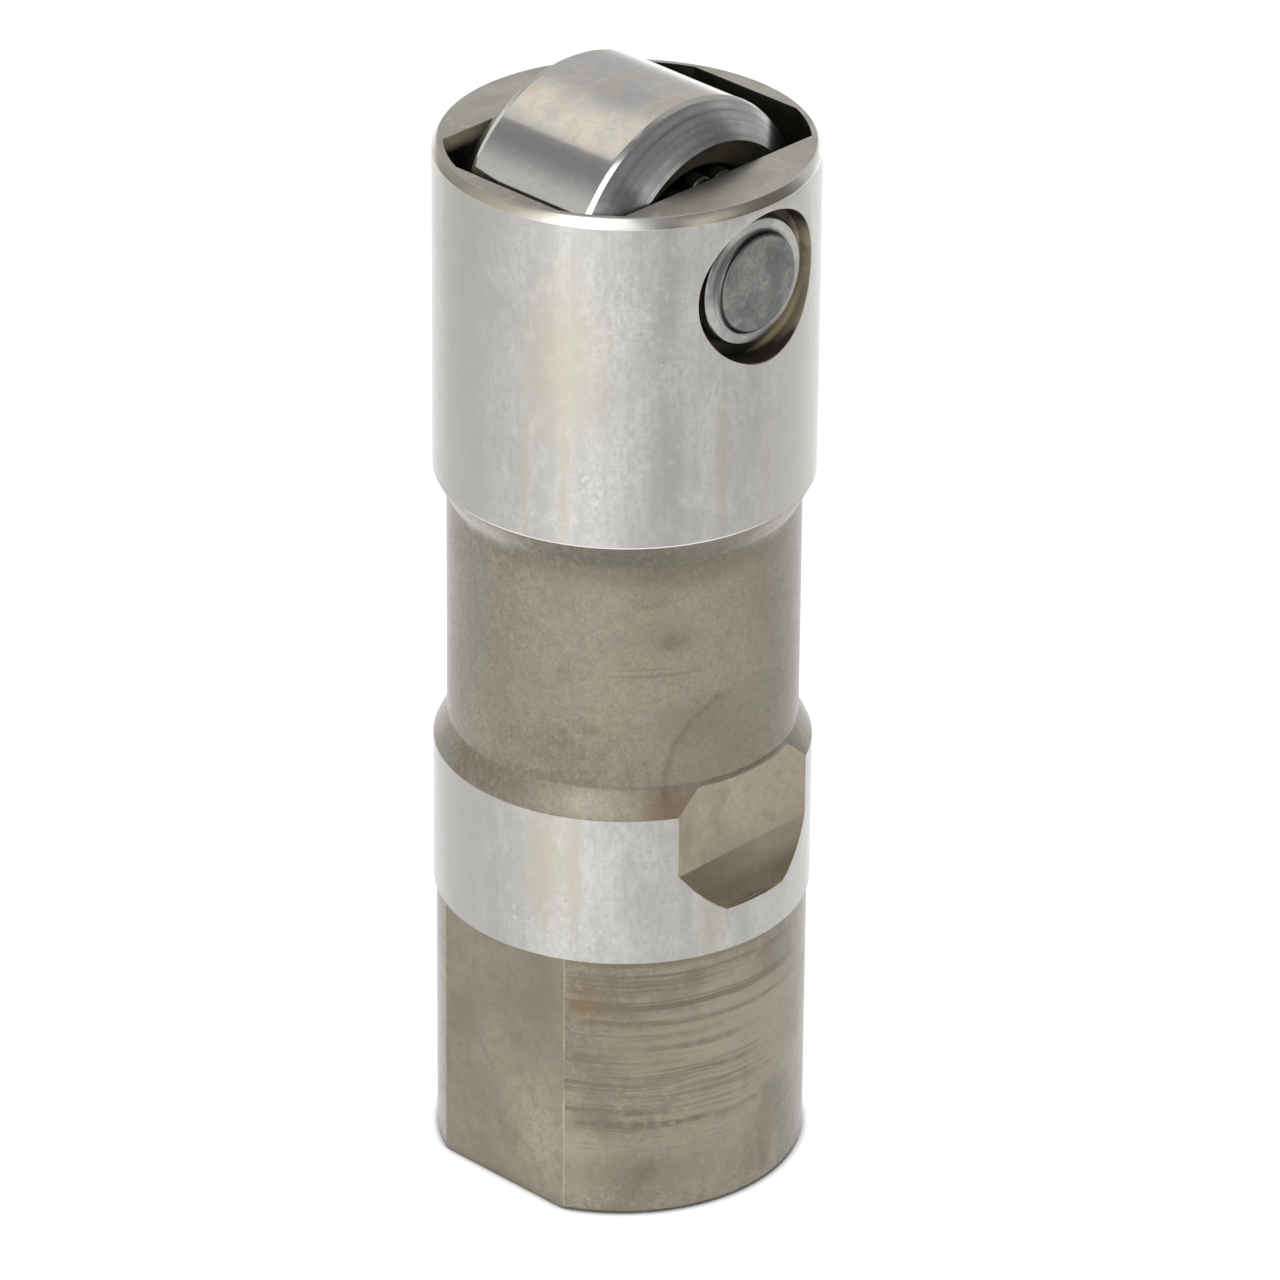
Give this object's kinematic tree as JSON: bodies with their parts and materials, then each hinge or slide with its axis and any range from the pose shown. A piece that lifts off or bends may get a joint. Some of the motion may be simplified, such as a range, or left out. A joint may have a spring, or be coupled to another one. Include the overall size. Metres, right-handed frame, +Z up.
{
  "type": "hydraulic roller valve lifter",
  "caption": "Hydraulic valve lifter with a needle-bearing cam roller, a two-flat guide end and a sprung plunger with a pushrod cup.",
  "frame": {"origin": "centre of the flat end face that the lifter stands on, the open pushrod end", "axes": "+Z up the body's axis towards the cam roller, Y along the roller's axle, with the band's notch on -Y, and the guide flats facing +X and -X"},
  "size_m": [0.0214, 0.0214, 0.0659],
  "materials": {
    "body_steel": "ground bands and dark turned neck",
    "roller_steel": "ground and polished tread",
    "axle_steel": "matte, staked ends",
    "needle_steel": "polished",
    "plunger_steel": "fine ground",
    "seat_steel": "hardened, dark",
    "disc_steel": "rolled sheet",
    "ball_steel": "polished",
    "cage_steel": "pressed sheet",
    "spring_steel": "drawn wire",
    "ring_steel": "drawn wire, dark"
  },
  "bodies": {
    "body": {"lifter_body": "body_steel", "axle_pin": "axle_steel", "retaining_ring": "ring_steel", "plunger_spring": "spring_steel"},
    "roller": {"roller_wheel": "roller_steel"},
    "needles": {"needle_01": "needle_steel", "needle_02": "needle_steel", "needle_03": "needle_steel", "needle_04": "needle_steel", "needle_05": "needle_steel", "needle_06": "needle_steel", "needle_07": "needle_steel", "needle_08": "needle_steel", "needle_09": "needle_steel", "needle_10": "needle_steel", "needle_11": "needle_steel", "needle_12": "needle_steel", "needle_13": "needle_steel", "needle_14": "needle_steel", "needle_15": "needle_steel", "needle_16": "needle_steel", "needle_17": "needle_steel"},
    "hydraulic_set": {"plunger": "plunger_steel", "pushrod_seat": "seat_steel", "metering_disc": "disc_steel", "ball_cage": "cage_steel", "check_ball_spring": "spring_steel"},
    "valve_ball": {"check_ball": "ball_steel"}
  },
  "joints": [
    {"name": "roller_spin", "type": "hinge", "parent": "body", "child": "roller", "pos_m": [0, 0, 0.057], "axis": [0, 1, 0], "continuous": true},
    {"name": "needle_orbit", "type": "hinge", "parent": "body", "child": "needles", "pos_m": [0, 0, 0.057], "axis": [0, 1, 0], "continuous": true},
    {"name": "plunger_slide", "type": "slide", "parent": "body", "child": "hydraulic_set", "axis": [0, 0, 1], "range_m": [0, 0.0038], "stiffness_N_per_m": 1500, "springref_m": -0.012, "deforming": ["plunger_spring"]},
    {"name": "check_ball_lift", "type": "slide", "parent": "hydraulic_set", "child": "valve_ball", "axis": [0, 0, 1], "range_m": [0, 0.00035], "stiffness_N_per_m": 40, "springref_m": -0.003, "deforming": ["check_ball_spring"]}
  ],
  "couplings": [
    {"joint": "needle_orbit", "follows": "roller_spin", "ratio": 0.59172}
  ]
}
